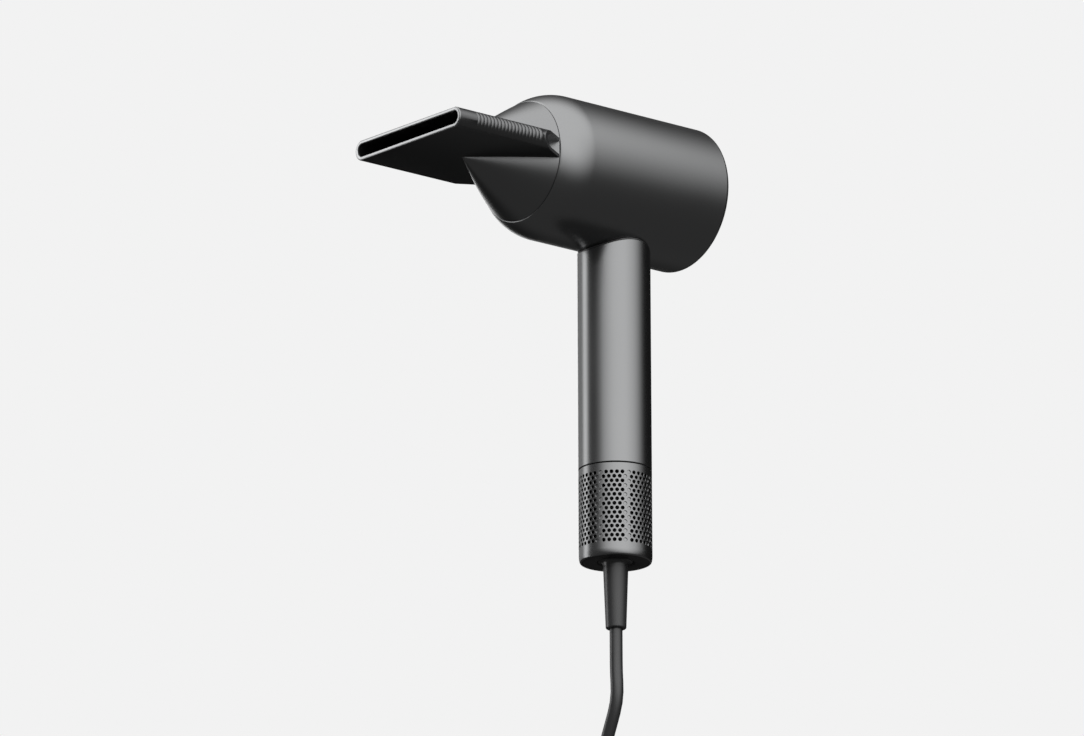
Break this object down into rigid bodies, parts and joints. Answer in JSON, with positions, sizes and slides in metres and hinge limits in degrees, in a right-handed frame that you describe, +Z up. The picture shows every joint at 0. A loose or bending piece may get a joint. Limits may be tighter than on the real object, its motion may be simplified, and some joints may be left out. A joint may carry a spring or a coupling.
{
  "type": "hair dryer",
  "caption": "Hand-held hair dryer with a round barrel, a straight grip, a flat concentrator nozzle and a perforated air intake.",
  "frame": {"origin": "middle of the grip on the grip's axis, where a hand or a wall holder holds the dryer", "axes": "+Z up along the grip's axis, -Y along the barrel the way the air leaves, +X to the right as seen from the rear"},
  "size_m": [0.084, 0.1864, 0.552],
  "materials": {
    "shell_metal": "satin gunmetal anodised",
    "grip_metal": "satin gunmetal anodised",
    "nozzle_metal": "satin dark gunmetal paint",
    "black_plastic": "matte",
    "cord_rubber": "matte",
    "steel": "bright",
    "plug_pins": "nickel plated",
    "copper": "enamelled copper",
    "mica": "matte mica sheet",
    "circuit_board": "solder mask",
    "lens": "clear white",
    "strap": "woven hook and loop"
  },
  "bodies": {
    "dryer": {"barrel_shell": "shell_metal", "rear_cover": "shell_metal", "grip_tube": "grip_metal", "saddle_gasket": "cord_rubber", "grip_core": "black_plastic", "core_lock_ring": "black_plastic", "outlet_ring": "black_plastic", "outlet_magnet_ring": "steel", "outlet_grille": "black_plastic", "ion_needle": "steel", "heater_tube": "mica", "heater_bulkhead": "black_plastic", "heater_frame": "mica", "heater_coil": "steel", "thermal_cutout": "steel", "air_turn_wall": "black_plastic", "control_board": "circuit_board", "storage_capacitor": "black_plastic", "ion_generator": "black_plastic", "power_relay": "black_plastic", "board_screw_1": "steel", "board_screw_2": "steel", "control_panel": "black_plastic", "indicator_lens": "lens", "temperature_dome": "steel", "cool_shot_dome": "steel", "button_board": "circuit_board", "slide_switch": "steel", "motor_housing": "black_plastic", "motor_mount_lower": "cord_rubber", "motor_mount_upper": "cord_rubber", "motor_end_cap": "black_plastic", "bearing_lower": "steel", "bearing_upper": "steel", "stator_core": "steel", "stator_winding_lower": "copper", "stator_winding_upper": "copper", "supply_lead": "cord_rubber", "filter_cage": "black_plastic", "filter_mesh": "steel", "intake_floor": "black_plastic", "strain_relief": "cord_rubber", "power_cord": "cord_rubber", "cord_hank": "cord_rubber", "cord_tie": "strap", "cord_tail": "cord_rubber", "plug_body": "cord_rubber", "plug_pin_front": "plug_pins", "plug_pin_rear": "plug_pins"},
    "motor_rotor": {"motor_shaft": "steel", "rotor_magnet": "steel", "impeller": "steel"},
    "intake_cover": {"intake_sleeve": "grip_metal", "intake_base": "black_plastic"},
    "nozzle_seat": {"nozzle_collar": "black_plastic", "nozzle_magnet_ring": "steel"},
    "nozzle": {"nozzle_shell": "nozzle_metal"},
    "power_switch": {"power_slider": "grip_metal"},
    "temperature_key": {"temperature_button": "grip_metal"},
    "cool_shot_key": {"cool_shot_button": "grip_metal"}
  },
  "joints": [
    {"name": "motor_spin", "type": "hinge", "parent": "dryer", "child": "motor_rotor", "pos_m": [0, 0, -0.0215], "axis": [0, 0, 1], "continuous": true},
    {"name": "intake_cover_pull", "type": "slide", "parent": "dryer", "child": "intake_cover", "axis": [0, 0, -1], "range_m": [0, 0.05]},
    {"name": "nozzle_pull", "type": "slide", "parent": "dryer", "child": "nozzle_seat", "axis": [0, -1, 0], "range_m": [0, 0.02]},
    {"name": "nozzle_turn", "type": "hinge", "parent": "nozzle_seat", "child": "nozzle", "pos_m": [0, -0.0633, 0.0981], "axis": [0, -1, 0], "continuous": true},
    {"name": "power_slide", "type": "slide", "parent": "dryer", "child": "power_switch", "axis": [0, 0, 1], "range_m": [0, 0.006]},
    {"name": "temperature_press", "type": "slide", "parent": "dryer", "child": "temperature_key", "axis": [0, -1, 0], "range_m": [0, 0.001], "stiffness_N_per_m": 400, "springref_m": -0.0005},
    {"name": "cool_shot_press", "type": "slide", "parent": "dryer", "child": "cool_shot_key", "axis": [0, -1, 0], "range_m": [0, 0.001], "stiffness_N_per_m": 400, "springref_m": -0.0005}
  ]
}
